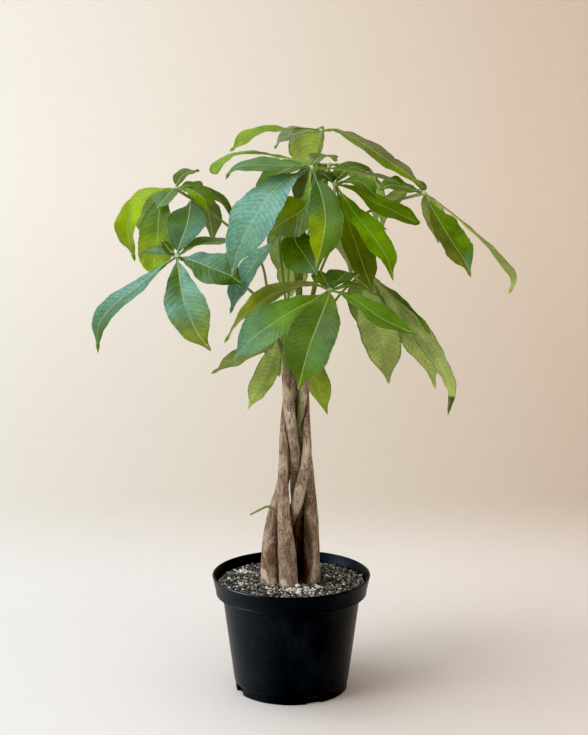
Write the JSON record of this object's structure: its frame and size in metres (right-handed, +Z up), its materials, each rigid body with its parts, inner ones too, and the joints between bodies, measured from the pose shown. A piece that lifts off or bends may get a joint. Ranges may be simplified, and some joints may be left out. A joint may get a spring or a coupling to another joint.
{
  "type": "potted money tree",
  "caption": "Potted money tree: braided woody stems that carry drooping palmate leaves, in a round plastic nursery pot of potting mix.",
  "frame": {"origin": "the middle of the pot's underside, on the face that it stands on", "axes": "+Z up along the pot's axis, -Y towards the front as pictured, +X to the right in that view"},
  "size_m": [0.4217, 0.2993, 0.5939],
  "materials": {
    "pot_plastic": "satin near-black moulded plastic with faint upright streaks",
    "potting_mix": "loose dark crumbs of bark and peat with white perlite grit",
    "bark": "smooth grey-brown bark with pale scars, green at the young tops",
    "green_twig": "soft green young wood",
    "leaf": "waxy mid green above, paler and matt below, pale midribs"
  },
  "bodies": {
    "root": {"pot": "pot_plastic", "soil": "potting_mix", "stem_left": "bark", "stem_front": "bark", "stem_back_right": "bark", "stem_back_left": "bark", "stem_right": "bark", "side_shoot": "green_twig", "leaf_left_front": "leaf", "leaf_left_back": "leaf", "leaf_top": "leaf", "leaf_upper_front": "leaf", "leaf_upper_right": "leaf", "leaf_right": "leaf", "leaf_center": "leaf", "leaf_lower_front": "leaf", "leaf_right_back": "leaf", "leaf_lower_back": "leaf", "leaf_back_low": "leaf", "leaf_back_high": "leaf"}
  },
  "joints": []
}
